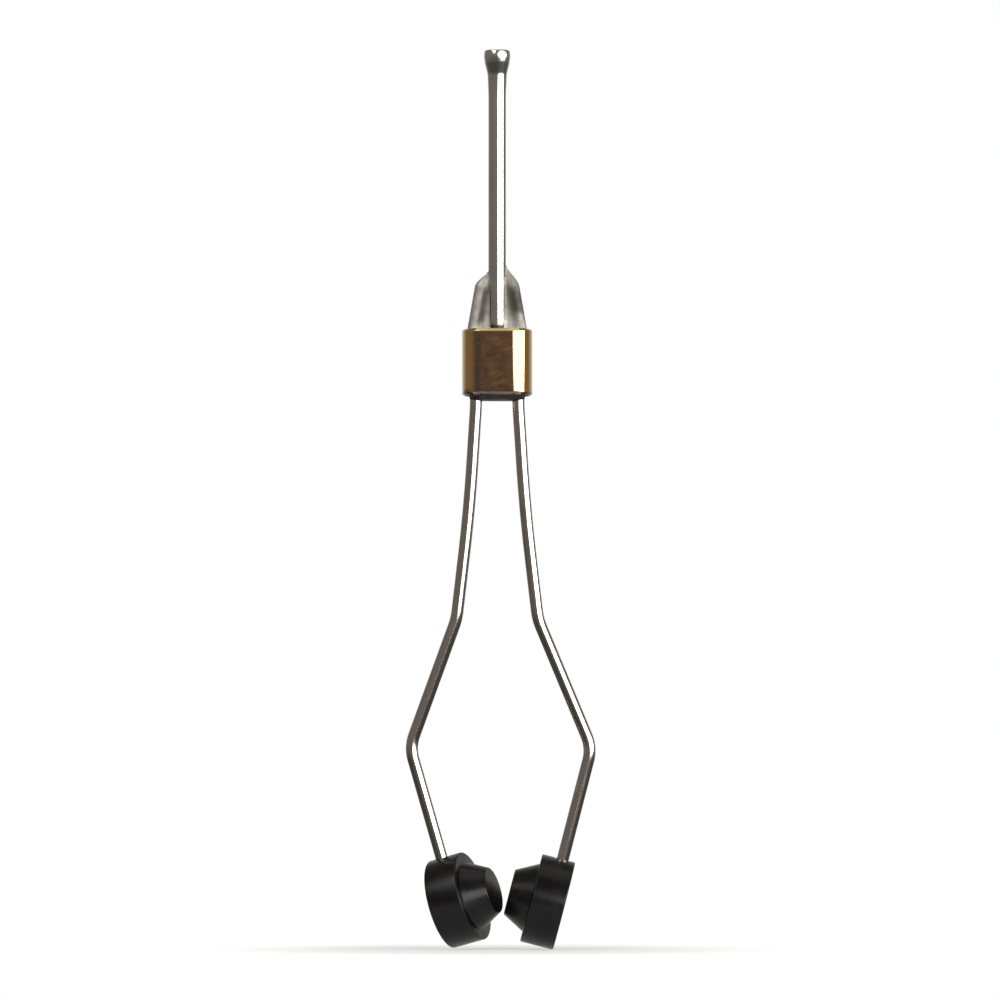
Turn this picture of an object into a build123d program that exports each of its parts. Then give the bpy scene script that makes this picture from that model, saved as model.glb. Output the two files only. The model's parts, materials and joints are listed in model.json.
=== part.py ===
"""Bobbin holder for fly tying: flared thread tube, brass collar, solder joint, two spring wires and two feet.

Millimetres. Z runs up the thread tube, z = 0 is the underside of the collar, and the legs spread along X.
"""
import os
from math import atan2, cos, hypot, radians, sin, sqrt, tan

from build123d import *

os.makedirs("parts", exist_ok=True)

# Thread tube: drawn steel, its tip flared to a rolled lip
tube_od = 2.0
tube_wall = 0.3
tip_height = 39.3
flare_od = 3.1
flare_half_angle = 13.0
flare_blend_radius = 6.0
lip_height = 0.8
lip_thickness = 0.5
lip_blend_radius = 4.0
lip_outer_radius = 0.28
lip_inner_chamfer = 0.1
bore_flare_depth = 1.6
bore_flare_radius = 3.0
mouth_chamfer = 0.12

# Collar: chamfered brass ring, pressed flat at the front and the back
collar_od = 8.0
collar_depth = 6.1
flat_edge_radius = 2.05
collar_wall = 0.55
collar_height = 7.5
collar_top_chamfer = 0.45
collar_foot_chamfer = 0.5

# Spring wires
wire_d = 1.4
wire_pitch_low = 4.72
kink_edge_gap = 0.06
kink_height = 7.3
kink_radius = 4.0
solder_film = 0.03
root_top = 12.75
shoulder_width = 9.2
shoulder_drop = 25.3
shoulder_radius = 7.0
leg_bow = 0.16
knee_radius = 4.4
shank_length = 18.1
wire_end_depth = 3.9

# Solder
solder_proud = 0.55
plug_margin = 0.19
plug_edge_chamfer = 0.12
web_thickness = 0.9
cap_height = 2.0
cap_tip_d = 0.3
cap_edge_gap = 0.04
pool_height = 1.6
pool_depth = 2.9
pool_edge_gap = 0.06

# Feet: moulded disc with a conical nose, bored for the end of the wire
disc_d = 10.2
disc_thickness = 3.85
nose_base_d = 7.9
nose_end_d = 5.2
nose_length = 2.55
wire_offset = 0.45
disc_edge_chamfer = 0.15
nose_edge_chamfer = 0.15
countersink = 0.3
left_foot_drop = 57.2
right_foot_drop = 57.4
left_tilt = 16.0
right_tilt = 14.5
left_turn = 17.5
right_turn = 0.0
meeting_offset = 0.63

# Fits and travel of the moving pieces
socket_clearance = 0.05
foot_bore_clearance = 0.03
wire_end_clearance = 0.3
swivel_limit = 45.0
nose_clearance = 0.01

# Worked out
tube_r = tube_od / 2
bore_r = tube_r - tube_wall
flare_r = flare_od / 2
neck_z = tip_height - lip_height - (flare_r - tube_r) / tan(radians(flare_half_angle))
lip_bore_r = flare_r - lip_thickness
collar_r = collar_od / 2
ring_bore_r = collar_r - collar_wall
wire_r = wire_d / 2
socket_r = wire_r + socket_clearance
pivot_x = wire_pitch_low / 2
pivot_z = -solder_proud
kink_x = ring_bore_r - kink_edge_gap - wire_r
root_top_x = tube_r + wire_r + solder_film
plug_r = pivot_x + socket_r + plug_margin
pool_edge = collar_r - collar_top_chamfer - pool_edge_gap
disc_r = disc_d / 2
disc_inner_x = disc_thickness / 2 + wire_offset
disc_outer_x = disc_inner_x - disc_thickness
nose_end_x = disc_inner_x + nose_length
nose_flare = (nose_base_d - nose_end_d) / 2 / nose_length
foot_profile = [
    (disc_outer_x, 0),
    (disc_outer_x, disc_r - disc_edge_chamfer),
    (disc_outer_x + disc_edge_chamfer, disc_r),
    (disc_inner_x - disc_edge_chamfer, disc_r),
    (disc_inner_x, disc_r - disc_edge_chamfer),
    (disc_inner_x, nose_base_d / 2),
    (nose_end_x - nose_edge_chamfer, nose_end_d / 2 + nose_edge_chamfer * nose_flare),
    (nose_end_x, nose_end_d / 2 - nose_edge_chamfer),
    (nose_end_x, 0),
]


def revolved(points, radii, axis=Axis.Z):
    """Turn a closed profile, given in the XZ plane with one corner radius a point, about an axis."""
    outline = FilletPolyline(*[(x, 0, z) for x, z in points], radius=radii, close=True)
    return revolve(make_face(outline.edges()), axis)


def pressed(radius, low, high):
    """Upright block with the outline of the pressed ring, drawn in from the collar's outside to a radius."""
    inset = collar_r - radius
    outline = Circle(radius) & Rectangle(collar_od, collar_depth - 2 * inset)
    corners = outline.vertices().group_by(Axis.Y)
    outline = fillet(corners[0] + corners[-1], flat_edge_radius - inset)
    return extrude(Pos(0, 0, low) * outline, high - low)


def rod(path, radius):
    """Sweep a round wire along a path."""
    return sweep(Plane(path @ 0, z_dir=path % 0) * Circle(radius), path)


def reach(rim, tilt, turn):
    """How far a rim of the foot comes towards the other foot, along X from the wire axis."""
    depth, rim_r = rim
    lean = cos(radians(tilt))
    rise = sin(radians(tilt))
    swing = sin(radians(turn))
    return lean * depth * cos(radians(turn)) + rim_r * sqrt((lean * swing) ** 2 + rise ** 2)


def furthest_reach(tilt):
    """The largest reach of the nose or the disc anywhere in the swivel range."""
    turns = [swivel_limit * step / 20 for step in range(21)]
    return max(reach(rim, tilt, turn) for rim in foot_profile for turn in turns)


def bow_radius(start, middle, end):
    """Radius of the arc that bows the upper leg, as large as its two runs take."""
    first = atan2(middle[0] - start[0], start[2] - middle[2])
    second = atan2(end[0] - middle[0], middle[2] - end[2])
    run = min(hypot(middle[0] - start[0], middle[2] - start[2]), hypot(end[0] - middle[0], end[2] - middle[2]))
    return 0.85 * run / tan(abs(second - first) / 2)


def foot_frame(side, tilt, drop):
    """Frame of a foot: origin on the wire axis at the disc centre, Z up the wire, X towards the other foot."""
    lean = radians(tilt)
    x = meeting_offset + side * (furthest_reach(tilt) + nose_clearance)
    return Plane((x, 0, -drop), x_dir=(-side * cos(lean), 0, sin(lean)), z_dir=(side * sin(lean), 0, cos(lean)))


def root_path(side):
    """Centre line of the soldered end of a wire, from the pivot up to its top."""
    return FilletPolyline(
        (side * pivot_x, 0, pivot_z),
        (side * kink_x, 0, kink_height),
        (side * root_top_x, 0, root_top),
        radius=[kink_radius],
    )


def leg_path(side, frame):
    """Centre line of the free leg, from the pivot through shoulder and knee to the blind end in the foot."""
    start = (side * pivot_x, 0, pivot_z)
    shoulder = (side * shoulder_width / 2, 0, -shoulder_drop)
    middle = ((start[0] + shoulder[0]) / 2 - side * 2 * leg_bow, 0, (start[2] + shoulder[2]) / 2)
    knee = frame.from_local_coords((0, 0, shank_length))
    end = frame.from_local_coords((0, 0, -wire_end_depth))
    bow = bow_radius(start, middle, shoulder)
    return FilletPolyline(start, middle, shoulder, knee, end, radius=[bow, shoulder_radius, knee_radius])


def make_tube():
    """The flared thread tube, open from end to end."""
    points = [
        (bore_r + mouth_chamfer, pivot_z),
        (tube_r, pivot_z),
        (tube_r, neck_z),
        (flare_r, tip_height - lip_height),
        (flare_r, tip_height),
        (lip_bore_r + lip_inner_chamfer, tip_height),
        (lip_bore_r, tip_height - lip_inner_chamfer),
        (bore_r, tip_height - bore_flare_depth),
        (bore_r, pivot_z + mouth_chamfer),
    ]
    radii = [0, 0, flare_blend_radius, lip_blend_radius, lip_outer_radius, 0, 0, bore_flare_radius, 0]
    return revolved(points, radii)


def make_collar():
    """The chamfered ring, with flat front and back."""
    block = pressed(collar_r, 0, collar_height)
    block = chamfer(block.edges().group_by(Axis.Z)[-1], collar_top_chamfer)
    block = chamfer(block.edges().group_by(Axis.Z)[0], collar_foot_chamfer)
    return block - pressed(ring_bore_r, 0, collar_height)


def make_root(side):
    """Soldered end of a wire, hollowed at its foot to take the tapered end of the leg."""
    return rod(root_path(side), wire_r) - Pos(side * pivot_x, 0, pivot_z) * Sphere(socket_r)


def make_leg(side, frame):
    """Free leg of a wire with a tapered end in the hollow above the pivot."""
    path = leg_path(side, frame)
    taper = Cone(wire_r, wire_r / 2, wire_r * 0.7, align=(Align.CENTER, Align.CENTER, Align.MIN))
    return rod(path, wire_r) + Plane(path @ 0, z_dir=-(path % 0)) * taper


def make_solder():
    """Solder in the ring, proud below it, and climbing between each wire end and the tube above it."""
    plug = pressed(plug_r, pivot_z, 0)
    plug = chamfer(plug.edges().group_by(Axis.Z)[0], plug_edge_chamfer)
    solder = plug + pressed(ring_bore_r, 0, collar_height)
    for side in (-1, 1):
        path = root_path(side)
        top = path @ 1
        lean = (Vector(side * tube_r, 0, top.Z + cap_height) - top).normalized()
        sink = wire_r * tan(radians(lean.get_angle(path % 1)))
        length = sink + cap_height / lean.Z
        cap = Cone(wire_r - cap_edge_gap, cap_tip_d / 2, length, align=(Align.CENTER, Align.CENTER, Align.MIN))
        solder += Plane(top - lean * sink, z_dir=lean) * cap
        web = Polyline(
            (0, 0, collar_height - 0.2),
            (side * kink_x, 0, collar_height - 0.2),
            (side * root_top_x, 0, root_top),
            (side * tube_r / 2, 0, root_top + cap_height / 2),
            (0, 0, root_top),
            close=True,
        )
        solder += extrude(make_face(web.edges()), web_thickness / 2, dir=(0, 1, 0), both=True)
        pool_x = (tube_r / 2 + pool_edge) / 2
        pool_foot = Pos(side * pool_x, 0, collar_height) * Ellipse(pool_edge - pool_x, pool_depth / 2)
        pool_top = Pos(side * root_top_x, 0, collar_height + pool_height) * Ellipse(wire_r + 0.1, web_thickness / 2)
        solder += loft([pool_foot.face(), pool_top.face()])
    solder -= Pos(0, 0, pivot_z) * Cylinder(tube_r, tip_height, align=(Align.CENTER, Align.CENTER, Align.MIN))
    for side in (-1, 1):
        solder -= rod(root_path(side), wire_r)
        solder -= Pos(side * pivot_x, 0, pivot_z) * Cylinder(socket_r, 2 * sqrt(socket_r ** 2 - wire_r ** 2))
    return solder


def make_foot():
    """One foot in its own frame: disc and nose about X, blind hole for the wire down Z."""
    foot = revolved(foot_profile, 0, Axis.X)
    hole_r = wire_r + foot_bore_clearance
    hole_floor = -wire_end_depth - wire_end_clearance
    hole = Pos(0, 0, hole_floor) * Cylinder(hole_r, disc_d, align=(Align.CENTER, Align.CENTER, Align.MIN))
    cone = Cone(hole_r, hole_r + 2 * countersink, 2 * countersink, align=(Align.CENTER, Align.CENTER, Align.MIN))
    return foot - hole - Pos(0, 0, disc_r - countersink) * cone


left_frame = foot_frame(-1, left_tilt, left_foot_drop)
right_frame = foot_frame(1, right_tilt, right_foot_drop)
foot = make_foot()

nodes = {
    "thread_tube": make_tube(),
    "collar": make_collar(),
    "solder_joint": make_solder(),
    "left_wire_root": make_root(-1),
    "right_wire_root": make_root(1),
    "left_leg": make_leg(-1, left_frame),
    "right_leg": make_leg(1, right_frame),
    "left_foot": left_frame.location * Rot(0, 0, -left_turn) * foot,
    "right_foot": right_frame.location * Rot(0, 0, right_turn) * foot,
}

for name, shape in nodes.items():
    export_step(shape, f"parts/{name}.step")
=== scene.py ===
"""Bobbin holder for fly tying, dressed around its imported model.

Laid out as an add-on and run as a script. Metres throughout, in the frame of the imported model: Z runs up the
thread tube, z = 0 is the underside of the collar, the legs spread along X and the camera stands on -Y.
"""
import json
from math import atan2, ceil, cos, pi, radians, sin, tan

import bmesh
import bpy
from bpy.props import FloatProperty, FloatVectorProperty, IntProperty, PointerProperty
from mathutils import Matrix, Vector


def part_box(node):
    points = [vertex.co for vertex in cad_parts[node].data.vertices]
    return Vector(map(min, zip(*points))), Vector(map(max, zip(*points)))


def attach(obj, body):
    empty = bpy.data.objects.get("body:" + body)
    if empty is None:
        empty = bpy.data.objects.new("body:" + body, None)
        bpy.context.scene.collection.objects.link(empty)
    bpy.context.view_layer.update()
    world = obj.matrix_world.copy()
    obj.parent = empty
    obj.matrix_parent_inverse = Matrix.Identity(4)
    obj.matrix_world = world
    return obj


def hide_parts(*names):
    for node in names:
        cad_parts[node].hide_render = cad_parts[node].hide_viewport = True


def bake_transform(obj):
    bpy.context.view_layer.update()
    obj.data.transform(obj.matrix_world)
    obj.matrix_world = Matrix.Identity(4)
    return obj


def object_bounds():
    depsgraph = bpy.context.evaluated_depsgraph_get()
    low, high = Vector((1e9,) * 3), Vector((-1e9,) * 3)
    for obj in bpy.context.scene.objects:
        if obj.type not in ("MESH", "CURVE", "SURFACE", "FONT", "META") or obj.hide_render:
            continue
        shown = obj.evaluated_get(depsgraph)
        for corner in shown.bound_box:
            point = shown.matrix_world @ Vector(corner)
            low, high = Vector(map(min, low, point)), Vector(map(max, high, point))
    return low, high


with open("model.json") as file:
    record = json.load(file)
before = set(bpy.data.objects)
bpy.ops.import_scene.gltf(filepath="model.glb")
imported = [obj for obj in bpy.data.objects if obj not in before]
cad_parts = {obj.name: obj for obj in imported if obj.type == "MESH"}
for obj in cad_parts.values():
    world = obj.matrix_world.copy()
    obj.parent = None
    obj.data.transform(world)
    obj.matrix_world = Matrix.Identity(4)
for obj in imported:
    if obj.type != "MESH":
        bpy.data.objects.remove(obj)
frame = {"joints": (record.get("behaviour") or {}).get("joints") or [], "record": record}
cad_low, cad_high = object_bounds()

bl_info = {
    "name": "Bobbin holder",
    "version": (1, 0, 0),
    "blender": (4, 5, 0),
    "location": "View3D > Sidebar > Bobbin holder",
    "description": "Thread tube, collar, solder, spring wires and spool feet of a fly tying bobbin holder",
    "category": "Add Mesh",
}

joints = {joint["name"]: joint for joint in frame["joints"]}
mounts = {mount["name"]: mount for mount in frame["record"]["mounts"]}

# Kinds of node that recur
MATH, VECTOR, RANGE = "ShaderNodeMath", "ShaderNodeVectorMath", "ShaderNodeMapRange"
MIX, NOISE, BUMP = "ShaderNodeMix", "ShaderNodeTexNoise", "ShaderNodeBump"
PRINCIPLED, SURFACE = "ShaderNodeBsdfPrincipled", "ShaderNodeOutputMaterial"
# A range that eases in and out, and a mix of two colours, which come in on inputs 6 and 7
SMOOTH = {"interpolation_type": "SMOOTHSTEP"}
COLOURS = {"out": 2, "data_type": "RGBA"}

# Angle past which an edge stays sharp, largest turn in one step of a rounded corner, how near points are one
SHARP = radians(32)
ARC_STEP = radians(7)
WELD = 1e-8


def linear(code):
    """An sRGB hex colour as linear red, green and blue."""
    parts = [int(code[i:i + 2], 16) / 255 for i in (1, 3, 5)]
    return [part / 12.92 if part <= 0.04045 else ((part + 0.055) / 1.055) ** 2.4 for part in parts]


def length(name, description, default, least=0):
    """A length in metres that a user may change."""
    return FloatProperty(
        name=name, description=description, default=default, min=least, precision=6, unit="LENGTH"
    )


def colour(name, description, code):
    """A colour that a user may change, written as sRGB hex."""
    return FloatVectorProperty(
        name=name, description=description, default=linear(code), size=3, min=0, max=1, subtype="COLOR"
    )


class BobbinTube(bpy.types.PropertyGroup):
    """Sizes and colours of the thread tube."""

    diameter: length("Diameter", "Outside of the tube", 0.0020)
    wall: length("Wall", "Thickness of the tube's wall", 0.0003)
    flare_diameter: length("Flare diameter", "Widest part of the lip", 0.00306)
    swell: length("Swell", "How far the tube swells below the flare", 0.0001)
    swell_drop: length("Swell drop", "From the tip down to the foot of the swell", 0.0051)
    flare_drop: length("Flare drop", "From the tip down to the foot of the flare", 0.0027)
    flare_blend: length("Flare blend", "Radius where the swell runs into the flare", 0.0024)
    lip_height: length("Lip height", "Height of the barrel-shaped lip", 0.00145)
    lip_draw: length("Lip draw", "How far the lip draws in towards its top", 0.0001)
    lip_wall: length("Lip wall", "Width of the lip seen from above", 0.0005)
    lip_round: length("Lip round", "Radius of the lip's top edge", 0.0002)
    bore_flare: length("Bore flare", "How deep the bore widens at the tip", 0.0016)
    steel: colour("Steel", "Drawn steel of the tube", "#CBCBC3")
    # Painted shade round the tube's foot, where it meets the collar and the solder
    painted_shade: colour("Flux", "Burnt flux round the tube's foot", "#3E3A34")


class BobbinCollar(bpy.types.PropertyGroup):
    """Sizes and colours of the collar."""

    diameter: length("Diameter", "Outside of the round ring", 0.0080)
    depth: length("Depth", "Across the flats that are pressed into the ring", 0.0061)
    flat_round: length("Flat round", "Radius where a flat runs into the round", 0.00205)
    wall: length("Wall", "Thickness of the collar's wall", 0.00055)
    top_chamfer: length("Top chamfer", "Chamfer of the upper edge", 0.0003)
    foot_chamfer: length("Foot chamfer", "Chamfer of the lower edge", 0.00032)
    edge_round: length("Edge round", "Radius left on the turned edges", 0.00008)
    brass: colour("Brass", "Golden brass of the rounds", "#CE9940")
    # Pale bare brass, in the hairline scratches, and as a painted highlight along the upper edge
    rim: colour("Rim", "Upper edge, rubbed back to bare metal", "#BEA65E")
    tarnish: colour("Tarnish", "Brown film on the handled flats", "#6E4118")
    # Painted dark reflection where each flat turns into the round
    crease_dark_reflection: colour("Press marks", "Dark film along the pressed edges", "#55361F")
    # Painted shade on the foot chamfer of the ring
    painted_shade: colour("Flux", "Burnt flux at the foot of the ring", "#2E2720")


class BobbinWire(bpy.types.PropertyGroup):
    """Sizes and colour of the two spring wires."""

    diameter: length("Diameter", "Thickness of the wire", 0.00139)
    kink_out: length("Kink spread", "Half spread of the wires at the kink above the collar", 0.00269)
    kink_height: length("Kink height", "Height of the kink above the collar's underside", 0.0073)
    kink_bend: length("Kink bend", "Bend radius at the kink", 0.004)
    top_out: length("Top spread", "Half spread of the wires at their soldered ends", 0.00181)
    top_height: length("Top height", "Height of the soldered ends", 0.0123)
    bow: length("Bow", "How far the upper leg bows inward", 0.00032)
    bow_bend: length("Bow bend", "Bend radius of the bowed upper leg", 0.20)
    shoulder_out: length("Shoulder spread", "Half spread of the wires at the shoulders", 0.0046)
    shoulder_drop: length("Shoulder drop", "Depth of the shoulders below the collar's underside", 0.0253)
    shoulder_bend: length("Shoulder bend", "Bend radius at the shoulders", 0.007)
    shank: length("Shank", "Length of wire from the foot's axis up to the knee", 0.0181)
    knee_bend: length("Knee bend", "Bend radius at the knees", 0.0044)
    end_depth: length("End depth", "How far the wire runs below the foot's axis", 0.0039)
    flex_run: length("Flex run", "Length below the solder that bends when the wire is sprung open", 0.022)
    facets: IntProperty(name="Facets", description="Faces round the wire", default=40, min=8, max=96)
    steel: colour("Steel", "Drawn spring steel of the wires", "#BCB8B2")


class BobbinSolder(bpy.types.PropertyGroup):
    """Sizes and colours of the solder."""

    film: length("Film", "Solder left on the wires above the collar", 0.00004)
    fillet: length("Fillet", "How widely the solder blends between wire, tube and collar", 0.0005)
    web: length("Web", "Half thickness of the solder between wire and tube", 0.00040)
    pool: length("Pool", "Half thickness of the pools on the collar", 0.00048)
    left_pool: length("Left pool", "Height that the left pool climbs", 0.0019)
    right_pool: length("Right pool", "Height that the right pool climbs", 0.0031)
    left_cap: length("Left cap", "Height that the solder climbs above the left wire's end", 0.0019)
    right_cap: length("Right cap", "Height that the solder climbs above the right wire's end", 0.0026)
    voxel: length("Voxel", "Grain of the solder's mesh", 0.00008)
    tin: colour("Tin", "Satin solder", "#ADA99F")
    oxide: colour("Oxide", "Duller clouds of oxide", "#938F86")
    # Painted shade along the grooves beside the wires, over the right side and under the collar
    painted_shade: colour("Flux", "Burnt flux along the wires and under the collar", "#3E3A34")


class BobbinFoot(bpy.types.PropertyGroup):
    """Sizes and colours of the two spool feet."""

    disc: length("Disc", "Diameter of the disc", 0.01018)
    thickness: length("Thickness", "Thickness of the disc", 0.00385)
    nose_base: length("Nose base", "Diameter of the nose at the disc", 0.0079)
    nose_end: length("Nose end", "Diameter of the nose at its end", 0.0052)
    nose: length("Nose", "Length of the nose", 0.00255)
    wire_offset: length("Wire offset", "From the wire to the middle of the disc", 0.00045)
    edge_round: length("Edge round", "Radius on the moulded edges", 0.00016)
    bore: length("Bore", "Diameter of the hole for the wire", 0.00146)
    countersink: length("Countersink", "Depth of the countersink round the hole", 0.0003)
    pit: length("Pit", "Diameter of the small moulding pits in the rim", 0.00042)
    pit_angle: FloatProperty(
        name="Pit angle",
        description="From the hole round the rim to the pits",
        default=radians(27),
        subtype="ANGLE",
    )
    plastic: colour("Plastic", "Black moulded plastic", "#070607")
    bloom: colour("Bloom", "Greyed plastic where it is handled", "#0E0D0D")


class BobbinStage(bpy.types.PropertyGroup):
    """The floor, the studio and the camera."""

    distance: length("Camera distance", "From the camera to the tube's axis", 0.78)
    eye: length("Eye height", "Height of the camera", -0.046, -1)
    span: length("Span", "Width of the view at the tube's axis", 0.1133)
    aim_x: length("Aim X", "Side shift of the view", 0.00032, -1)
    aim_z: length("Aim Z", "Height of the view's middle", -0.01183, -1)
    floor: length("Floor", "Radius of the floor", 0.036)
    board: colour("Board", "Pale floor and backdrop", "#E4E2DE")
    room: colour("Room", "Dim studio round the object", "#857F79")
    back: colour("Back", "Paler studio behind the object", "#E6E2DC")
    shade: colour("Shade", "The studio below the table's level", "#53504B")


def add(tree, kind, feeds=None, out=0, **settings):
    """Add a node and give one of its outputs, or the node itself if out is None. Settings are its properties,
    and feeds gives each input a value or the socket that drives it."""
    node = tree.nodes.new(kind)
    for name, value in settings.items():
        setattr(node, name, value)
    for name, value in (feeds or {}).items():
        if isinstance(value, bpy.types.NodeSocket):
            tree.links.new(value, node.inputs[name])
        else:
            node.inputs[name].default_value = value
    return node if out is None else node.outputs[out]


def new_material(name):
    """An empty material and its tree."""
    material = bpy.data.materials.new(name)
    material.use_nodes = True
    material.node_tree.nodes.clear()
    return material, material.node_tree


def drawn_steel(name, steel, place, gloss, foot_shade=None):
    """Stainless steel drawn through a die and buffed: long soft highlights, with faint streaks along the
    metal. A last argument, if given, holds a height and a colour: painted shade round the foot, which
    fades out just above that height."""
    material, tree = new_material(name)
    if place:
        where = add(tree, "ShaderNodeAttribute", out="Vector", attribute_name=place)
    else:
        where = add(tree, "ShaderNodeTexCoord", out="Object")
    # Die lines are about 0.02 mm apart. They are drawn 0.22 mm apart and 6 mm long, so that they show.
    stretched = add(tree, "ShaderNodeMapping", {"Vector": where, "Scale": (1, 1, 0.22 / 6)})
    lines = add(tree, NOISE, {"Vector": stretched, "Scale": 1 / 0.00022, "Detail": 2})
    bump = add(tree, BUMP, {"Height": lines, "Strength": 0.5, "Distance": 0.0000007})
    # Handling marks, 3 mm across, are up to a fifth darker and a little rougher
    marks = add(tree, NOISE, {"Vector": where, "Scale": 1 / 0.003, "Detail": 4})
    worn = add(tree, RANGE, {"Value": marks, "From Min": 0.35, "From Max": 0.7})
    tone_layers = [(worn, [part * 0.82 for part in steel])]
    buffed, dull = gloss
    rough = add(
        tree, RANGE, {"Value": marks, "From Min": 0.3, "From Max": 0.7, "To Min": buffed, "To Max": dull}
    )
    if foot_shade:
        # Painted shade round the foot is solid for 0.3 mm and gone at 0.9 mm
        height, painted_shade = foot_shade
        z = add(tree, "ShaderNodeSeparateXYZ", {0: where}, out="Z")
        shade_share = add(
            tree, RANGE, {"Value": z, "From Min": height + 0.0009, "From Max": height + 0.0003}, **SMOOTH
        )
        tone_layers.append((shade_share, painted_shade))
        rough = add(tree, RANGE, {"Value": shade_share, "To Min": rough, "To Max": 0.45})
    tone = (*steel, 1)
    for share, film in tone_layers:
        tone = add(tree, MIX, {0: share, 6: tone, 7: (*film, 1)}, **COLOURS)
    shader = add(tree, PRINCIPLED, {"Base Color": tone, "Metallic": 1.0, "Roughness": rough, "Normal": bump})
    add(tree, SURFACE, {0: shader}, out=None)
    return material


def pressed_brass(name, size, flat, height):
    """Brass tube, cut off, pressed and lacquered: golden rounds under a clear gloss, brown mottled flats with
    hairline scratches, painted dark reflection where a flat turns into the round, a painted highlight on
    the top edge and painted shade on the foot. The flats end at flat to either side, and the ring is height
    high."""
    material, tree = new_material(name)
    where = add(tree, "ShaderNodeTexCoord", out="Object")
    x, _, z = add(tree, "ShaderNodeSeparateXYZ", {0: where}, out=None).outputs
    out_x = add(tree, MATH, {0: x}, operation="ABSOLUTE")
    # Film in patches of 1.1 mm all over the flats, which fades out 0.9 mm past their ends
    mottle = add(tree, NOISE, {"Vector": where, "Scale": 1 / 0.0011, "Detail": 5, "Roughness": 0.6})
    patch = add(tree, RANGE, {"Value": mottle, "From Min": 0.35, "From Max": 0.6, "To Min": 0.5})
    level = add(
        tree, RANGE, {"Value": out_x, "From Min": flat + 0.0009, "From Max": flat - 0.0002}, **SMOOTH
    )
    covered = add(tree, MATH, {0: level, 1: patch}, operation="MULTIPLY")
    # Painted dark reflection in a soft band, up to 1.6 mm wide, where a flat runs into the round
    crease = add(tree, MATH, {0: out_x, 1: flat + 0.00055}, operation="SUBTRACT")
    crease = add(tree, MATH, {0: crease}, operation="ABSOLUTE")
    crease = add(
        tree, RANGE, {"Value": crease, "From Min": 0.0008, "From Max": 0.0001, "To Max": 0.9}, **SMOOTH
    )
    # Hairline scratches are about 0.02 mm wide. They are drawn 0.13 mm wide and 1 mm long, so that they show.
    slanted = add(
        tree,
        "ShaderNodeMapping",
        {"Vector": where, "Rotation": (0, radians(-24), 0), "Scale": (8, 1, 1)},
        vector_type="TEXTURE",
    )
    hairs = add(tree, NOISE, {"Vector": slanted, "Scale": 1 / 0.00026, "Detail": 1})
    hairs = add(tree, RANGE, {"Value": hairs, "From Min": 0.6, "From Max": 0.72, "To Max": 0.4})
    # Painted highlight along the top edge, about 0.36 mm wide, and ragged painted shade up to about 0.5 mm
    # above the foot
    edge = add(tree, RANGE, {"Value": z, "From Min": height - 0.00042, "From Max": height - 0.0003})
    ragged = add(tree, MATH, {0: mottle, 1: 0.0022, 2: z}, operation="MULTIPLY_ADD")
    shade_share = add(tree, RANGE, {"Value": ragged, "From Min": 0.0016, "From Max": 0.0012})
    tone_layers = [
        (covered, size.tarnish), (crease, size.crease_dark_reflection), (hairs, size.rim), (edge, size.rim), (shade_share, size.painted_shade)
    ]
    tone = (*size.brass, 1)
    for share, film in tone_layers:
        tone = add(tree, MIX, {0: share, 6: tone, 7: (*film, 1)}, **COLOURS)
    rough = add(tree, RANGE, {"Value": patch, "From Min": 0.5, "To Min": 0.08, "To Max": 0.13})
    # Saw and draw marks are about 0.03 mm apart. They are drawn 0.3 mm apart, so that they show.
    flattened = add(tree, "ShaderNodeMapping", {"Vector": where, "Scale": (0.02, 0.02, 1)})
    rings = add(tree, NOISE, {"Vector": flattened, "Scale": 1 / 0.0003, "Detail": 2})
    bump = add(tree, BUMP, {"Height": rings, "Strength": 0.5, "Distance": 0.000002})
    shader = add(tree, PRINCIPLED, {
        "Base Color": tone, "Metallic": 1.0, "Roughness": rough, "Normal": bump,
        "Coat Weight": 1.0, "Coat Roughness": 0.05, "Coat IOR": 2.0,
    })
    add(tree, SURFACE, {0: shader}, out=None)
    return material


def satin_solder(name, size):
    """Soft solder, wiped while hot and left to dull: an even satin grey, cloudy with oxide, and with painted
    shade along the grooves beside the wires, over the right side and under the collar."""
    material, tree = new_material(name)
    where = add(tree, "ShaderNodeTexCoord", out="Object")
    # Clouds of 0.8 mm, ripples of 0.5 mm
    clouds = add(tree, NOISE, {"Vector": where, "Scale": 1 / 0.0008, "Detail": 3})
    ripples = add(tree, NOISE, {"Vector": where, "Scale": 1 / 0.0005, "Detail": 2})
    dull = add(tree, RANGE, {"Value": clouds, "From Min": 0.35, "From Max": 0.7})
    shade_share = add(tree, "ShaderNodeAttribute", out="Fac", attribute_name="painted_shade")
    tone = (*size.tin, 1)
    for share, film in ((dull, size.oxide), (shade_share, size.painted_shade)):
        tone = add(tree, MIX, {0: share, 6: tone, 7: (*film, 1)}, **COLOURS)
    rough = add(tree, RANGE, {"Value": dull, "To Min": 0.48, "To Max": 0.62})
    bump = add(tree, BUMP, {"Height": ripples, "Strength": 0.6, "Distance": 0.00001})
    # The oxide skin scatters light like chalk, so the metal shows only in part
    shader = add(tree, PRINCIPLED, {"Base Color": tone, "Metallic": 0.5, "Roughness": rough, "Normal": bump})
    add(tree, SURFACE, {0: shader}, out=None)
    return material


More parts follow.
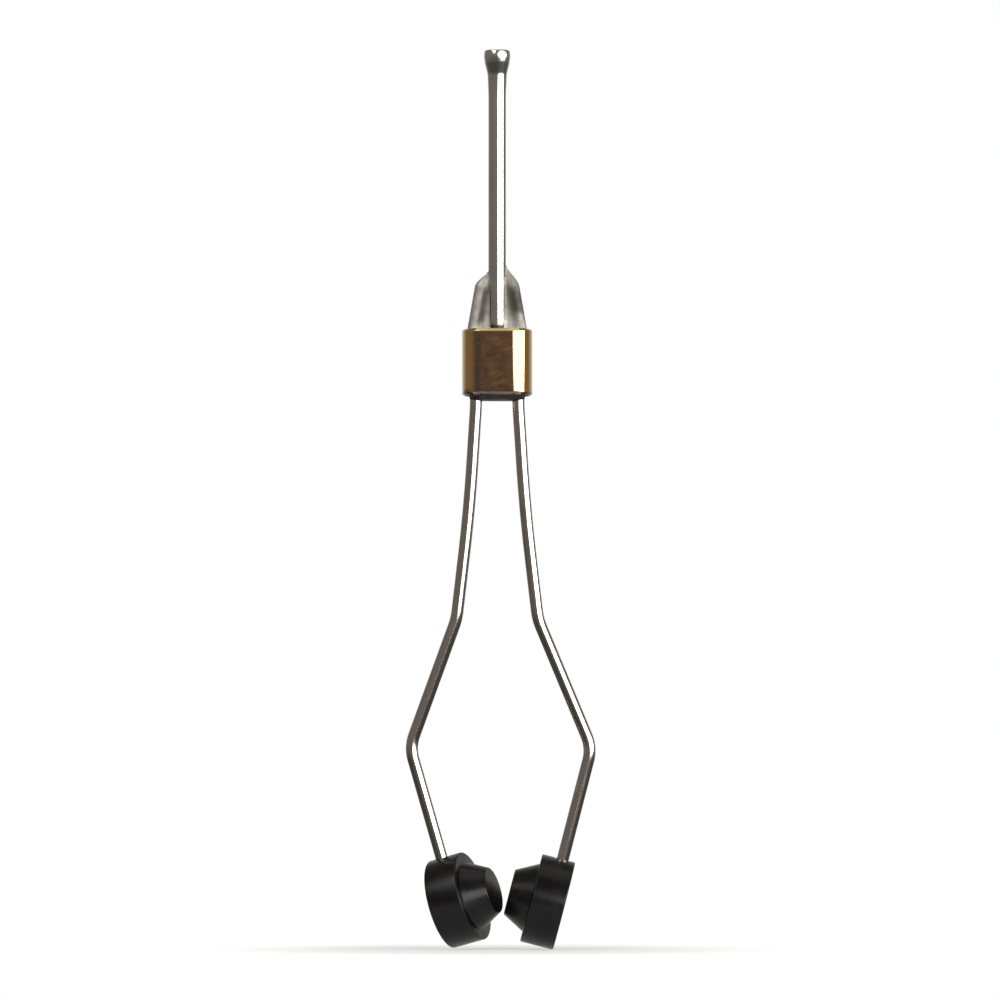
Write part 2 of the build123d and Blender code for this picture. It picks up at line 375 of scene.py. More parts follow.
def moulded_plastic(name, size):
    """Black plastic from a spark-finished mould: a fine grain softens the sheen, greyed where handled."""
    material, tree = new_material(name)
    where = add(tree, "ShaderNodeTexCoord", out="Object")
    # Spark grain is about 0.05 mm. It is drawn at 0.2 mm, so that it shows. Handling marks are 1.6 mm across.
    grain = add(tree, NOISE, {"Vector": where, "Scale": 1 / 0.0002, "Detail": 3})
    marks = add(tree, NOISE, {"Vector": where, "Scale": 1 / 0.0016, "Detail": 5})
    handled = add(tree, RANGE, {"Value": marks, "From Min": 0.4, "From Max": 0.7})
    tone = add(tree, MIX, {0: handled, 6: (*size.plastic, 1), 7: (*size.bloom, 1)}, **COLOURS)
    rough = add(
        tree, RANGE, {"Value": marks, "From Min": 0.3, "From Max": 0.7, "To Min": 0.22, "To Max": 0.32}
    )
    bump = add(tree, BUMP, {"Height": grain, "Strength": 0.5, "Distance": 0.000006})
    shader = add(
        tree, PRINCIPLED, {"Base Color": tone, "Roughness": rough, "Normal": bump, "Specular IOR Level": 0.22}
    )
    add(tree, SURFACE, {0: shader}, out=None)
    return material


def pale_board(name, board, near, reach):
    """Matt painted board. Seen by eye or in metal, a share of its white is its own, and the rest takes the
    shadow. The share is near in the middle and grows to all of it at reach."""
    material, tree = new_material(name)
    where = add(tree, "ShaderNodeTexCoord", out="Object")
    # Roller stipple, 4 mm across
    stipple = add(tree, NOISE, {"Vector": where, "Scale": 1 / 0.004, "Detail": 3})
    bump = add(tree, BUMP, {"Height": stipple, "Strength": 0.2, "Distance": 0.00002})
    paint = add(tree, PRINCIPLED, {"Base Color": (*board, 1), "Roughness": 0.8, "Normal": bump})
    glow = add(tree, "ShaderNodeEmission", {"Color": (1, 1, 1, 1), "Strength": 1.0})
    level = add(tree, VECTOR, {0: where, 1: (1, 1, 0)}, operation="MULTIPLY")
    off = add(tree, VECTOR, {0: level}, out="Value", operation="LENGTH")
    share = add(
        tree,
        RANGE,
        {"Value": off, "From Min": reach * 0.35, "From Max": reach * 0.95, "To Min": near, "To Max": 1.0},
        **SMOOTH,
    )
    rays = add(tree, "ShaderNodeLightPath", out=None).outputs
    seen = rays["Is Camera Ray"]
    for ray in ("Is Glossy Ray", "Is Transmission Ray"):
        seen = add(tree, MATH, {0: seen, 1: rays[ray]}, operation="MAXIMUM")
    share = add(tree, MATH, {0: seen, 1: share}, operation="MULTIPLY")
    mixed = add(tree, "ShaderNodeMixShader", {0: share, 1: paint, 2: glow})
    add(tree, SURFACE, {0: mixed}, out=None)
    return material


def rounded(corners):
    """A closed profile from corners (a, b, radius), with each rounded corner drawn as an arc."""
    points = []
    for i, (a, b, radius) in enumerate(corners):
        here = Vector((a, b))
        if radius == 0:
            points.append(here)
            continue
        before = (Vector(corners[i - 1][:2]) - here).normalized()
        after = (Vector(corners[(i + 1) % len(corners)][:2]) - here).normalized()
        half = before.angle(after) / 2
        centre = here + (before + after).normalized() * radius / sin(half)
        first = here + before * radius / tan(half) - centre
        last = here + after * radius / tan(half) - centre
        start = atan2(first.y, first.x)
        sweep = (atan2(last.y, last.x) - start + pi) % (2 * pi) - pi
        steps = max(3, ceil(abs(sweep) / ARC_STEP))
        for step in range(steps + 1):
            angle = start + sweep * step / steps
            points.append(centre + Vector((cos(angle), sin(angle))) * radius)
    return points


def skinned(name, rings):
    """A closed mesh over rings of points, each joined to the next, shaded smooth with sharp edges kept."""
    shape = bmesh.new()
    count = len(rings[0])
    hoops = [[shape.verts.new(point) for point in ring] for ring in rings]
    for hoop, after in zip(hoops, hoops[1:] + hoops[:1]):
        for t in range(count):
            shape.faces.new([hoop[t], hoop[(t + 1) % count], after[(t + 1) % count], after[t]])
    bmesh.ops.remove_doubles(shape, verts=shape.verts, dist=WELD)
    bmesh.ops.recalc_face_normals(shape, faces=shape.faces)
    mesh = bpy.data.meshes.new(name)
    shape.to_mesh(mesh)
    shape.free()
    mesh.shade_smooth()
    mesh.set_sharp_from_angle(angle=SHARP)
    return mesh


def turned(name, profile, segments=144):
    """A mesh turned about Z from a closed profile of (radius, height)."""
    turns = [2 * pi * t / segments for t in range(segments)]
    rings = [[(radius * cos(t), radius * sin(t), height) for t in turns] for radius, height in profile]
    return skinned(name, rings)


def evaluated(obj, name):
    """The result of an object's modifiers as a plain mesh. The object is removed."""
    mesh = bpy.data.meshes.new_from_object(obj.evaluated_get(bpy.context.evaluated_depsgraph_get()))
    bpy.data.objects.remove(obj)
    mesh.name = name
    if not mesh.polygons:
        raise RuntimeError(f"{name} came out empty")
    return mesh


def placed(mesh, name, material=None):
    """A new object at the origin that shows a mesh."""
    obj = bpy.data.objects.new(name, mesh)
    bpy.context.scene.collection.objects.link(obj)
    if material:
        mesh.materials.clear()
        mesh.materials.append(material)
    return obj


def declared(obj, slot, *nodes):
    """Hide the solids that a piece stands for. The slot, which names its finish, is not used."""
    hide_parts(*nodes)
    return obj


def begun(name, values):
    """A new geometry tree with a named input for each value, and the sockets that give them."""
    kinds = {float: "Float", int: "Int", tuple: "Vector", bpy.types.Material: "Material"}
    tree = bpy.data.node_groups.new(name, "GeometryNodeTree")
    tree.interface.new_socket("Geometry", in_out="INPUT", socket_type="NodeSocketGeometry")
    for title, value in values.items():
        tree.interface.new_socket(title, in_out="INPUT", socket_type="NodeSocket" + kinds[type(value)])
    tree.interface.new_socket("Geometry", in_out="OUTPUT", socket_type="NodeSocketGeometry")
    return tree, tree.nodes.new("NodeGroupInput").outputs


def ended(tree, mesh, kind, name, value, finish):
    """End a geometry tree in a smooth mesh with a finish, which keeps a value at its points under a name."""
    mesh = add(
        tree,
        "GeometryNodeStoreNamedAttribute",
        {"Geometry": mesh, "Name": name, "Value": value},
        data_type=kind,
        domain="POINT",
    )
    mesh = add(tree, "GeometryNodeSetShadeSmooth", {"Geometry": mesh})
    mesh = add(tree, "GeometryNodeRealizeInstances", {"Geometry": mesh})
    mesh = add(tree, "GeometryNodeSetMaterial", {"Geometry": mesh, "Material": finish})
    add(tree, "NodeGroupOutput", {0: mesh}, out=None)
    return tree


def grown(obj, tree, values):
    """Give an object a geometry tree, with its inputs set by their identifiers."""
    modifier = obj.modifiers.new(tree.name, "NODES")
    modifier.node_group = tree
    for socket in tree.interface.items_tree:
        if socket.in_out == "INPUT" and socket.name in values:
            modifier[socket.identifier] = values[socket.name]


def wire_tree(values):
    """Round wire along a route of corners, each bent to its own radius."""
    tree, given = begun("Wire along its bends", values)
    bend = add(tree, "GeometryNodeInputNamedAttribute", {"Name": "bend"}, data_type="FLOAT")
    route = add(tree, "GeometryNodeMeshToCurve", {0: given["Geometry"]})
    route = add(
        tree,
        "GeometryNodeFilletCurve",
        {"Curve": route, "Count": 32, "Radius": bend, "Limit Radius": True},
        mode="POLY",
    )
    route = add(
        tree, "GeometryNodeResampleCurve", {"Curve": route, "Length": given["Step"]}, mode="LENGTH"
    )
    radius = add(tree, MATH, {0: given["Diameter"], 1: 2.0}, operation="DIVIDE")
    ring = add(
        tree, "GeometryNodeCurvePrimitiveCircle", {"Resolution": given["Facets"], "Radius": radius}
    )
    # The way along the route and the place in the ring are kept. Together they are places on a straight wire.
    along = add(tree, "GeometryNodeSplineParameter", out="Length")
    place = add(tree, "GeometryNodeInputPosition")
    kept = []
    for curve, kind, title, value in ((route, "FLOAT", "Run", along), (ring, "VECTOR", "Section", place)):
        capture = add(tree, "GeometryNodeCaptureAttribute", {0: curve}, out=None, domain="POINT")
        capture.capture_items.new(kind, title)
        tree.links.new(value, capture.inputs[title])
        kept.append((capture.outputs[0], capture.outputs[title]))
    (route, run), (ring, section) = kept
    wire = add(
        tree, "GeometryNodeCurveToMesh", {"Curve": route, "Profile Curve": ring, "Fill Caps": True}
    )
    straight = add(tree, "ShaderNodeCombineXYZ", {"Z": run})
    straight = add(tree, VECTOR, {0: section, 1: straight}, operation="ADD")
    return ended(tree, wire, "FLOAT_VECTOR", "straight", straight, given["Finish"])


def solder_tree(values):
    """Solder as the surface at which tube, wires, web, pools and ring plug run into each other."""
    tree, given = begun("Solder round tube and wires", values)
    place = add(tree, "GeometryNodeInputPosition")
    x, y, z = add(tree, "ShaderNodeSeparateXYZ", {0: place}, out=None).outputs
    out_x, out_y = (add(tree, MATH, {0: part}, operation="ABSOLUTE") for part in (x, y))
    mirrored = add(tree, "ShaderNodeCombineXYZ", {"X": out_x, "Y": y, "Z": z})
    level = add(tree, "ShaderNodeCombineXYZ", {"X": x, "Y": y})
    off_axis = add(tree, VECTOR, {0: level}, out="Value", operation="LENGTH")

    # Each side has its own height of cap and pool, and its own place for the line of painted shade
    right = add(tree, MATH, {0: x, 1: 0.0}, operation="GREATER_THAN")
    top, climb, line = (
        add(tree, RANGE, {"Value": right, "To Min": given[f"Left {part}"], "To Max": given[f"Right {part}"]})
        for part in ("cap", "pool", "groove")
    )
    tip = add(tree, "ShaderNodeCombineXYZ", {"X": given["Tube radius"], "Z": top})

    # Distance to the coated wire: two straight runs and the cap that tapers onto the tube
    foot, kink, end = given["Wire foot"], given["Wire kink"], given["Wire top"]
    runs = ((foot, kink, "Wire radius"), (kink, end, "Wire radius"), (end, tip, "Tip radius"))
    wire = None
    for start, stop, last in runs:
        along = add(tree, VECTOR, {0: stop, 1: start}, operation="SUBTRACT")
        reach = add(tree, VECTOR, {0: mirrored, 1: start}, operation="SUBTRACT")
        covered = add(tree, VECTOR, {0: reach, 1: along}, out="Value", operation="DOT_PRODUCT")
        whole = add(tree, VECTOR, {0: along, 1: along}, out="Value", operation="DOT_PRODUCT")
        share = add(tree, MATH, {0: covered, 1: whole}, operation="DIVIDE", use_clamp=True)
        nearest = add(tree, VECTOR, {0: along, "Scale": share}, operation="SCALE")
        off = add(tree, VECTOR, {0: reach, 1: nearest}, out="Value", operation="DISTANCE")
        radius = add(
            tree, RANGE, {"Value": share, "To Min": given["Wire radius"], "To Max": given[last]}, **SMOOTH
        )
        run = add(tree, MATH, {0: off, 1: radius}, operation="SUBTRACT")
        wire = run if wire is None else add(tree, MATH, {0: wire, 1: run}, operation="MINIMUM")

    # Web between wire and tube, thickened to a pool at its foot
    ring_top = given["Ring top"]
    crest = add(tree, MATH, {0: ring_top, 1: climb}, operation="ADD")
    thick = add(tree, RANGE, {
        "Value": z, "From Min": crest, "From Max": ring_top, "To Min": given["Web"], "To Max": given["Pool"]
    })
    lean = add(tree, VECTOR, {0: end, 1: kink}, operation="SUBTRACT")
    lean = add(tree, VECTOR, {0: lean, 1: (0, 1, 0)}, operation="CROSS_PRODUCT")
    lean = add(tree, VECTOR, {0: lean}, operation="NORMALIZE")
    inside = add(tree, VECTOR, {0: mirrored, 1: kink}, operation="SUBTRACT")
    inside = add(tree, VECTOR, {0: inside, 1: lean}, out="Value", operation="DOT_PRODUCT")
    past = add(tree, MATH, {0: inside, 1: -1.0}, operation="MULTIPLY")
    core = add(tree, MATH, {0: given["Tube radius"], 1: 0.75}, operation="MULTIPLY")
    sunk = add(tree, MATH, {0: ring_top, 1: z}, operation="SUBTRACT")

    # How far a point lies past each limit. The web is sunk 0.8 mm into the ring.
    web, inner, sunk, above, tube, plug, flats, lid, ring, below, over, risen, beside = (
        add(tree, MATH, {0: value, 1: limit}, operation="SUBTRACT")
        for value, limit in (
            (out_y, thick), (core, out_x), (sunk, 0.0008), (z, given["Web top"]),
            (off_axis, given["Tube radius"]), (off_axis, given["Plug radius"]), (out_y, given["Plug depth"]),
            (z, ring_top), (off_axis, given["Ring radius"]), (given["Solder foot"], z), (z, top),
            (z, crest), (inside, line),
        )
    )
    # How softly the edges of the web, the plug's flats, its lid and the whole skin are rounded
    web_edge, flat_edge, lid_edge, skin_edge = 0.0003, 0.0006, 0.0002, 0.00025
    for limit in (past, above, inner, sunk):
        web = add(tree, MATH, {0: web, 1: limit, 2: web_edge}, operation="SMOOTH_MAX")

    # Plug that fills the ring and stands a little proud below it, where it draws in by 0.9 mm
    plug = add(tree, MATH, {0: plug, 1: flats, 2: flat_edge}, operation="SMOOTH_MAX")
    drawn_in = add(
        tree, RANGE, {"Value": z, "From Min": 0.0001, "From Max": given["Solder foot"], "To Max": 0.0009}
    )
    plug = add(tree, MATH, {0: plug, 1: drawn_in}, operation="ADD")
    plug = add(tree, MATH, {0: plug, 1: lid, 2: lid_edge}, operation="SMOOTH_MAX")

    # The tube counts only where something runs up to it, as its own distance starts just inside its wall
    solder = wire
    for other in (tube, web, plug):
        solder = add(tree, MATH, {0: solder, 1: other, 2: given["Fillet"]}, operation="SMOOTH_MIN")
    for limit in (ring, below, over):
        solder = add(tree, MATH, {0: solder, 1: limit, 2: skin_edge}, operation="SMOOTH_MAX")
    # The density is 1 on the surface and rises by 1 for each millimetre inwards
    filled = add(tree, MATH, {0: solder, 1: -1000.0, 2: 1.0}, operation="MULTIPLY_ADD")
    block = add(tree, "GeometryNodeVolumeCube", {
        "Density": filled, "Background": 0.0, "Min": given["Low corner"], "Max": given["High corner"],
        "Resolution X": given["Count X"], "Resolution Y": given["Count X"], "Resolution Z": given["Count Z"],
    })
    skin = add(tree, "GeometryNodeVolumeToMesh", {"Volume": block, "Threshold": 1.0, "Adaptivity": 0.0})

    # Painted shade lies in a line along the groove beside each wire and under the collar, and more faintly
    # over the right side. The feet of the pools are clear of it, and the caps almost.
    beside = add(tree, MATH, {0: beside}, operation="ABSOLUTE")
    width = add(tree, RANGE, {"Value": right, "To Min": 0.00065, "To Max": 0.001})
    right_shade = add(tree, MATH, {0: right, 1: 0.55}, operation="MULTIPLY")
    painted_shade = add(
        tree, RANGE, {"Value": beside, "From Min": width, "From Max": 0.0002, "To Min": right_shade, "To Max": 1.0}
    )
    clear = add(tree, RANGE, {"Value": risen, "From Min": -0.0022, "From Max": -0.0008})
    capped = add(tree, VECTOR, {0: place, 1: end}, operation="SUBTRACT")
    capped = add(tree, "ShaderNodeSeparateXYZ", {0: capped}, out="Z")
    capped = add(tree, RANGE, {"Value": capped, "From Min": 0.001, "From Max": -0.0006, "To Min": 0.15})
    for share in (clear, capped):
        painted_shade = add(tree, MATH, {0: painted_shade, 1: share}, operation="MULTIPLY")
    under = add(tree, RANGE, {"Value": z, "From Min": 0.001, "From Max": 0.0002})
    painted_shade = add(tree, MATH, {0: painted_shade, 1: under}, operation="MAXIMUM")
    return ended(tree, skin, "FLOAT", "painted_shade", painted_shade, given["Finish"])


class BOBBIN_OT_thread_tube(bpy.types.Operator):
    """Turn the thread tube with its flared, rolled tip"""

    bl_idname = "bobbin.thread_tube"
    bl_label = "Thread tube"

    def execute(self, context):
        size = context.scene.bobbin_tube
        low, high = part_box("thread_tube")
        tube_r = size.diameter / 2
        bore_r = tube_r - size.wall
        flare_r = size.flare_diameter / 2
        bevel = size.wall * 0.4
        foot_round, swell_bend, neck_bend, barrel_bend, bore_bend = 0.00004, 0.02, 0.002, 0.0024, 0.003
        profile = rounded([
            (bore_r + bevel, low.z, 0),
            (tube_r, low.z, foot_round),
            (tube_r, high.z - size.swell_drop, swell_bend),
            (tube_r + size.swell, high.z - size.flare_drop, size.flare_blend),
            (flare_r - size.lip_draw * 1.2, high.z - size.lip_height, neck_bend),
            (flare_r, high.z - size.lip_height * 0.4, barrel_bend),
            (flare_r - size.lip_draw, high.z, size.lip_round),
            (flare_r - size.lip_wall, high.z, size.lip_round * 0.4),
            (bore_r, high.z - size.bore_flare, bore_bend),
            (bore_r, low.z + bevel, 0),
        ])
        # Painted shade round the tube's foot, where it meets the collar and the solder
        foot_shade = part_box("collar")[1].z, size.painted_shade
        steel = drawn_steel("Drawn and buffed stainless steel", size.steel, "", (0.13, 0.18), foot_shade)
        tube = placed(turned("thread_tube_drawn", profile), "thread_tube_drawn", steel)
        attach(declared(tube, "polished_steel_tube", "thread_tube"), "stem")
        return {"FINISHED"}


class BOBBIN_OT_collar(bpy.types.Operator):
    """Make the chamfered ring, pressed flat at the front and the back"""

    bl_idname = "bobbin.collar"
    bl_label = "Collar"

    def execute(self, context):
        size = context.scene.bobbin_collar
        low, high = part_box("collar")
        outer = size.diameter / 2
        fine = size.edge_round / 4
        profile = rounded([
            (outer - size.wall, low.z, fine),
            (outer - size.foot_chamfer, low.z, fine),
            (outer, low.z + size.foot_chamfer, size.edge_round),
            (outer, high.z - size.top_chamfer, size.edge_round),
            (outer - size.top_chamfer, high.z, fine),
            (outer - size.wall, high.z, fine),
        ])
        # Round the ring: each arc's centre, radius, first and last angle. Between two arcs lies a flat.
        side = outer - size.flat_round
        drop = size.depth / 2 - size.flat_round
        out = (side ** 2 - drop ** 2) ** 0.5
        meet = atan2(drop, out)
        arcs = [
            ((0, 0), outer, -meet, meet),
            ((out, drop), size.flat_round, meet, pi / 2),
            ((-out, drop), size.flat_round, pi / 2, pi - meet),
            ((0, 0), outer, pi - meet, pi + meet),
            ((-out, -drop), size.flat_round, pi + meet, 3 * pi / 2),
            ((out, -drop), size.flat_round, 3 * pi / 2, 2 * pi - meet),
        ]
        parts = 32
        around = [
            (centre, radius, first + (last - first) * part / parts)
            for centre, radius, first, last in arcs
            for part in range(parts + 1)
        ]
        rings = []
        for reach, height in profile:
            ring = []
            end = low.z if height < (low.z + high.z) / 2 else high.z
            for (x, y), radius, turn in around:
                # The chamfers are half as wide on the rounds as on the flats
                share = 0.5 + 0.5 * sin(turn) ** 2
                drawn = radius - (outer - reach) * share
                ring.append((x + drawn * cos(turn), y + drawn * sin(turn), end + (height - end) * share))
            rings.append(ring)
        brass = pressed_brass("Pressed and lacquered brass", size, out, high.z - low.z)
        collar = placed(skinned("collar_pressed", rings), "collar_pressed", brass)
        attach(declared(collar, "turned_brass", "collar"), "stem")
        return {"FINISHED"}


class BOBBIN_OT_spring_wires(bpy.types.Operator):
    """Bend the two spring wires, each one length from its soldered end to its foot"""

    bl_idname = "bobbin.spring_wires"
    bl_label = "Spring wires"

    def execute(self, context):
        size = context.scene.bobbin_wire
        steel = drawn_steel("Drawn and buffed spring steel", size.steel, "straight", (0.1, 0.14))
        values = {"Diameter": size.diameter, "Facets": size.facets, "Step": 0.0003, "Finish": steel}
        tree = wire_tree(values)
        root_bend = 0.03
        for hand, side in (("left", -1), ("right", 1)):
            pivot = Vector(joints[f"{hand}_leg_flex"]["pos_m"])
            foot = Vector(joints[f"{hand}_foot_swivel"]["pos_m"])
            up = Vector(joints[f"{hand}_foot_swivel"]["axis"]).normalized()
            shoulder = Vector((side * size.shoulder_out, 0, -size.shoulder_drop))
            corners, bends = zip(
                (Vector((side * size.top_out, 0, size.top_height)), 0),
                (Vector((side * size.kink_out, 0, size.kink_height)), size.kink_bend),
                (pivot, root_bend),
                ((pivot + shoulder) / 2 - Vector((side * size.bow, 0, 0)), size.bow_bend),
                (shoulder, size.shoulder_bend),
                (foot + up * size.shank, size.knee_bend),
                (foot - up * size.end_depth, 0),
            )
            line = bpy.data.meshes.new(f"{hand}_wire_route")
            line.from_pydata(corners, [(i, i + 1) for i in range(len(corners) - 1)], [])
            line.attributes.new("bend", "FLOAT", "POINT").data.foreach_set("value", bends)
            maker = placed(line, f"{hand}_wire_route")
            grown(maker, tree, values)
            wire = placed(evaluated(maker, f"{hand}_wire_bent"), f"{hand}_wire_bent")
            declared(wire, "spring_wire", f"{hand}_wire_root", f"{hand}_leg")
            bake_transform(wire)
        return {"FINISHED"}


class BOBBIN_OT_solder_joint(bpy.types.Operator):
    """Run solder between the tube, the wires and the collar"""

    bl_idname = "bobbin.solder_joint"
    bl_label = "Solder joint"

    def execute(self, context):
        size = context.scene.bobbin_solder
        wire = context.scene.bobbin_wire
        tube_r = context.scene.bobbin_tube.diameter / 2
        collar = context.scene.bobbin_collar
        ring_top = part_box("collar")[1].z
        low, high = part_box("solder_joint")
        ring_r = collar.diameter / 2 - collar.wall
        # The skin may bite into the ring's wall, the plug stays inside it, and its top dips below the edge
        bite, inset, dip, spare = 0.00006, 0.00004, 0.00005, 0.0001
        margin = size.voxel * 3
        reach = ring_r + spare + margin
        values = {
            "Wire foot": tuple(joints["right_leg_flex"]["pos_m"]),
            "Wire kink": (wire.kink_out, 0, wire.kink_height),
            "Wire top": (wire.top_out, 0, wire.top_height),
            "Left cap": wire.top_height + size.left_cap,
            "Right cap": wire.top_height + size.right_cap,
            "Wire radius": wire.diameter / 2 + size.film,
            "Tip radius": 0.00003,
            "Tube radius": tube_r - size.film,
            "Fillet": size.fillet,
            "Web": size.web,
            "Pool": size.pool,
            "Left pool": size.left_pool,
            "Right pool": size.right_pool,
            "Ring radius": ring_r + bite,
            "Plug radius": ring_r - inset,
            "Plug depth": collar.depth / 2 - collar.wall - inset,
            "Ring top": ring_top - dip,
            "Solder foot": low.z,
            "Web top": wire.top_height + size.left_cap * 0.55,
            "Left groove": wire.diameter * 0.42,
            "Right groove": wire.diameter * -0.04,
            "Low corner": (-reach, -reach, low.z - margin),
            "High corner": (reach, reach, high.z + margin),
            "Count X": round(2 * reach / size.voxel),
            "Count Z": round((high.z - low.z + 2 * margin) / size.voxel),
            "Finish": satin_solder("Satin soft solder", size),
        }
        maker = placed(bpy.data.meshes.new("solder_maker"), "solder_maker")
        grown(maker, solder_tree(values), values)
        solder = placed(evaluated(maker, "solder_joint_run"), "solder_joint_run")
        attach(declared(solder, "satin_solder", "solder_joint"), "stem")
        return {"FINISHED"}


class BOBBIN_OT_spool_feet(bpy.types.Operator):
    """Mould the two feet with their noses, wire holes and pits"""

    bl_idname = "bobbin.spool_feet"
    bl_label = "Spool feet"

    def execute(self, context):
        size = context.scene.bobbin_foot
        inner = size.thickness / 2 + size.wire_offset
        outer = inner - size.thickness
        rim = size.disc / 2
        end = inner + size.nose
        profile = rounded([
            (0, outer, 0),
            (rim, outer, size.edge_round),
            (rim, inner, size.edge_round),
            (size.nose_base / 2, inner, size.edge_round / 2),
            (size.nose_end / 2, end, size.edge_round * 1.4),
            (0, end, 0),
        ])
        to_nose = Matrix.Rotation(pi / 2, 4, "Y")
        spare = 0.0003
        depth = context.scene.bobbin_wire.end_depth + spare
        bore = size.bore / 2
        sink = bore + 2 * size.countersink
        rise = rim + size.countersink
        drill = [(0, -depth), (bore, -depth), (bore, rim - size.countersink), (sink, rise), (0, rise)]
        # The pits stand in pairs. A ball, its middle lifted off the rim, leaves a shallow one.
        gap = 0.00044
        ball = size.pit * 0.75
        lift = (ball ** 2 - (size.pit / 2) ** 2) ** 0.5
        plastic = moulded_plastic("Black moulded plastic", size)
        for hand in ("left", "right"):
            mesh = turned(f"{hand}_foot_moulded", profile, 160)
            mesh.transform(to_nose)
            maker = placed(mesh, f"{hand}_foot_maker")
            cutters = [placed(turned(f"{hand}_drill", drill, 48), f"{hand}_drill")]
            for turn in (-1, 1):
                for shift in (-gap, gap):
                    pin = bmesh.new()
                    bmesh.ops.create_uvsphere(pin, u_segments=20, v_segments=12, radius=ball)
                    around = Matrix.Rotation(turn * size.pit_angle, 4, "X")
                    spot = around @ Vector((size.wire_offset + shift, 0, rim + lift))
                    bmesh.ops.translate(pin, verts=pin.verts, vec=spot)
                    punch = bpy.data.meshes.new(f"{hand}_pit")
                    pin.to_mesh(punch)
                    pin.free()
                    cutters.append(placed(punch, f"{hand}_pit"))
            for cutter in cutters:
                cut = maker.modifiers.new(cutter.name, "BOOLEAN")
                cut.operation = "DIFFERENCE"
                cut.solver = "EXACT"
                cut.object = cutter
            moulded = evaluated(maker, f"{hand}_foot_moulded")
            for cutter in cutters:
                bpy.data.objects.remove(cutter)
            swivel = joints[f"{hand}_foot_swivel"]
            up = Vector(swivel["axis"]).normalized()
            nose = Vector(mounts[f"{hand}_nose"]["axis"]).normalized()
            seat = Matrix((nose, up.cross(nose), up)).transposed().to_4x4()
            seat.translation = swivel["pos_m"]
            moulded.transform(seat)
            moulded.shade_smooth()
            moulded.set_sharp_from_angle(angle=SHARP)
            foot = placed(moulded, f"{hand}_foot_moulded", plastic)
            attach(declared(foot, "black_plastic", f"{hand}_foot"), f"{hand}_spool_foot")
        return {"FINISHED"}


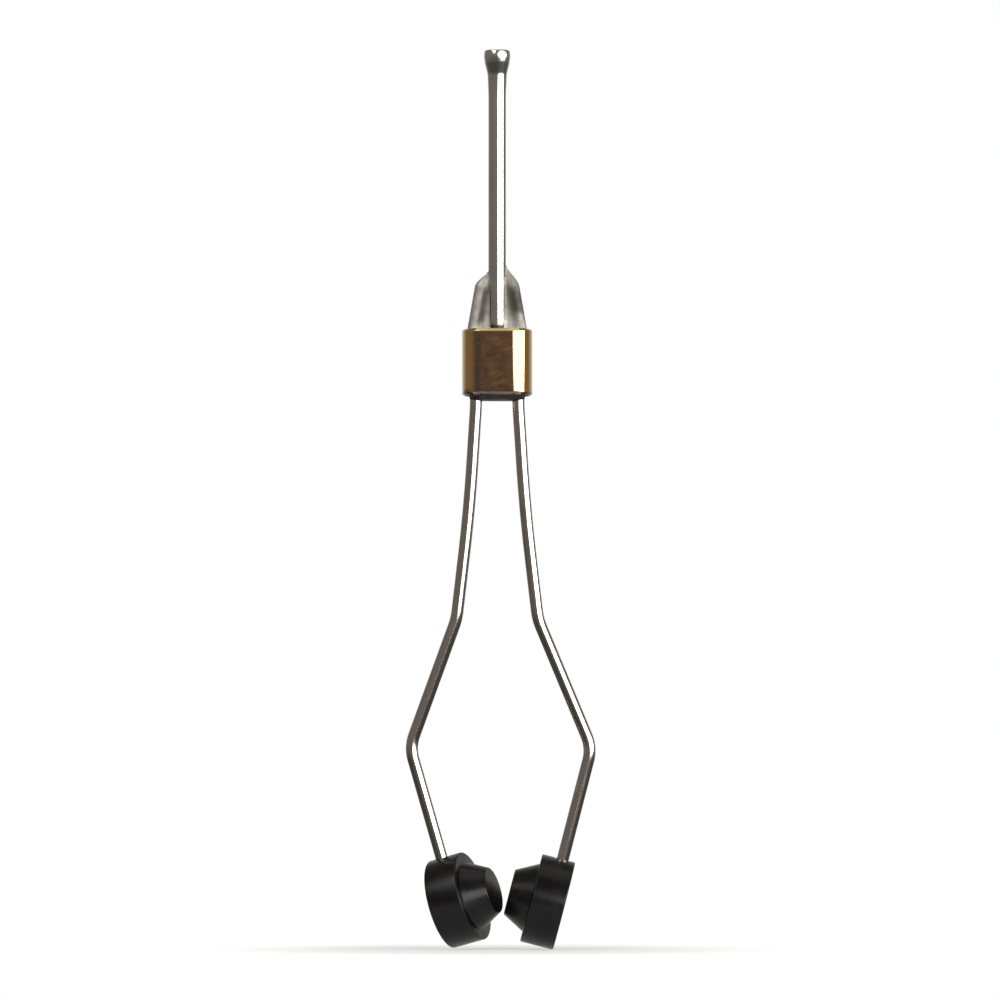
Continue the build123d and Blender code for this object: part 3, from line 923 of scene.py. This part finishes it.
class BOBBIN_OT_stage(bpy.types.Operator):
    """Set the floor, the backdrop, the studio lights and the camera"""

    bl_idname = "bobbin.stage"
    bl_label = "Stage"

    def execute(self, context):
        size = context.scene.bobbin_stage
        scene = context.scene
        scene.view_settings.view_transform = "Standard"
        ground, thick, edge = cad_low.z, 0.004, 0.0005
        under = ground - thick
        disc = rounded([(0, under, 0), (size.floor, under, edge), (size.floor, ground, edge), (0, ground, 0)])
        board = pale_board("Matt floor board", size.board, 0.5, size.floor)
        floor = placed(turned("floor", disc, 192), "floor", board)

        # The backdrop fills the view, a little over its edges and far below it
        back, margin, skirt = 0.9, 1.06, 0.5
        eye = Vector((size.aim_x, -size.distance, size.eye))
        aim = Vector((size.aim_x, 0, size.aim_z))
        grow = (size.distance + back) / size.distance
        centre = eye + (aim - eye) * grow
        half = size.span / 2 * grow * margin
        left, right = centre.x - half, centre.x + half
        foot, top = centre.z - half - skirt, centre.z + half
        panel = bpy.data.meshes.new("backdrop")
        corners = [(left, back, foot), (right, back, foot), (right, back, top), (left, back, top)]
        panel.from_pydata(corners, [], [(0, 1, 2, 3)])
        backdrop = placed(panel, "backdrop", pale_board("Lit backdrop board", size.board, 1.0, 1.0))

        # Lamps: azimuth right of the camera and height in degrees, width and height in degrees, brightness
        lamps = {
            "side_softbox": (46.2, 9.4, 80.6, 30, 6.5),
            "top_softbox": (20, 84, 50, 50, 0.8),
            "left_softbox": (-40, 42, 34, 34, 3.2),
            "fill_lamp": (-27, 23, 24, 15, 3.5),
        }
        away = 1.5
        for name, (azimuth, height, wide, tall, level) in lamps.items():
            a = radians(azimuth)
            h = radians(height)
            towards = Vector((sin(a) * cos(h), -cos(a) * cos(h), sin(h)))
            light = bpy.data.lights.new(name, "AREA")
            light.shape = "ELLIPSE"
            light.size = 2 * away * tan(radians(wide / 2))
            light.size_y = 2 * away * tan(radians(tall / 2))
            # An ellipse fills pi / 4 of its box, and each square metre of brightness 1 gives off pi watts
            light.energy = level * pi * light.size * light.size_y * pi / 4
            lamp = bpy.data.objects.new(name, light)
            lamp.location = towards * away
            lamp.rotation_euler = towards.to_track_quat("Z", "Y").to_euler()
            lamp.visible_camera = False
            scene.collection.objects.link(lamp)

        # The studio is paler behind the object, and elsewhere darker below the horizon
        world = bpy.data.worlds.new("Dim studio")
        world.use_nodes = True
        sky = world.node_tree
        sky.nodes.clear()
        way = add(sky, "ShaderNodeTexCoord", out="Generated")
        _, depth, rise = add(sky, "ShaderNodeSeparateXYZ", {0: way}, out=None).outputs
        behind = add(sky, RANGE, {"Value": depth, "From Min": 0.56, "From Max": 0.98})
        tone = add(sky, MIX, {0: behind, 6: (*size.room, 1), 7: (*size.back, 1)}, **COLOURS)
        lit = add(sky, RANGE, {"Value": rise, "From Min": -0.25, "From Max": 0.0})
        lit = add(sky, MATH, {0: lit, 1: behind}, operation="MAXIMUM")
        tone = add(sky, MIX, {0: lit, 6: (*size.shade, 1), 7: tone}, **COLOURS)
        room = add(sky, "ShaderNodeBackground", {"Color": tone, "Strength": 1.0})
        add(sky, "ShaderNodeOutputWorld", {0: room}, out=None)
        scene.world = world

        view = bpy.data.cameras.new("photo_view")
        view.sensor_width = 36
        view.lens = view.sensor_width * (aim - eye).length / size.span
        view.clip_start = 0.01
        view.clip_end = 10
        camera = bpy.data.objects.new("photo_view", view)
        camera.location = eye
        camera.rotation_euler = (aim - eye).to_track_quat("-Z", "Y").to_euler()
        scene.collection.objects.link(camera)
        scene.camera = camera
        return {"FINISHED"}


class VIEW3D_PT_bobbin_holder(bpy.types.Panel):
    """Sizes, colours and steps of the bobbin holder"""

    bl_label = "Bobbin holder"
    bl_idname = "VIEW3D_PT_bobbin_holder"
    bl_space_type = "VIEW_3D"
    bl_region_type = "UI"
    bl_category = "Bobbin holder"

    def draw(self, context):
        for name, step, _ in steps:
            box = self.layout.box()
            box.operator(step.bl_idname)
            sizes = getattr(context.scene, name)
            for key in sizes.__annotations__:
                box.prop(sizes, key)


steps = [
    ("bobbin_tube", BOBBIN_OT_thread_tube, BobbinTube),
    ("bobbin_collar", BOBBIN_OT_collar, BobbinCollar),
    ("bobbin_wire", BOBBIN_OT_spring_wires, BobbinWire),
    ("bobbin_solder", BOBBIN_OT_solder_joint, BobbinSolder),
    ("bobbin_foot", BOBBIN_OT_spool_feet, BobbinFoot),
    ("bobbin_stage", BOBBIN_OT_stage, BobbinStage),
]


def register():
    """Add the classes and the settings to Blender."""
    for name, step, sizes in steps:
        bpy.utils.register_class(sizes)
        bpy.utils.register_class(step)
        setattr(bpy.types.Scene, name, PointerProperty(type=sizes))
    bpy.utils.register_class(VIEW3D_PT_bobbin_holder)


def unregister():
    """Take the classes and the settings out of Blender."""
    bpy.utils.unregister_class(VIEW3D_PT_bobbin_holder)
    for name, step, sizes in reversed(steps):
        delattr(bpy.types.Scene, name)
        bpy.utils.unregister_class(step)
        bpy.utils.unregister_class(sizes)


def main():
    """Build every piece and the stage."""
    register()
    bpy.ops.bobbin.thread_tube()
    bpy.ops.bobbin.collar()
    bpy.ops.bobbin.spring_wires()
    bpy.ops.bobbin.solder_joint()
    bpy.ops.bobbin.spool_feet()
    bpy.ops.bobbin.stage()


if __name__ == "__main__":
    main()
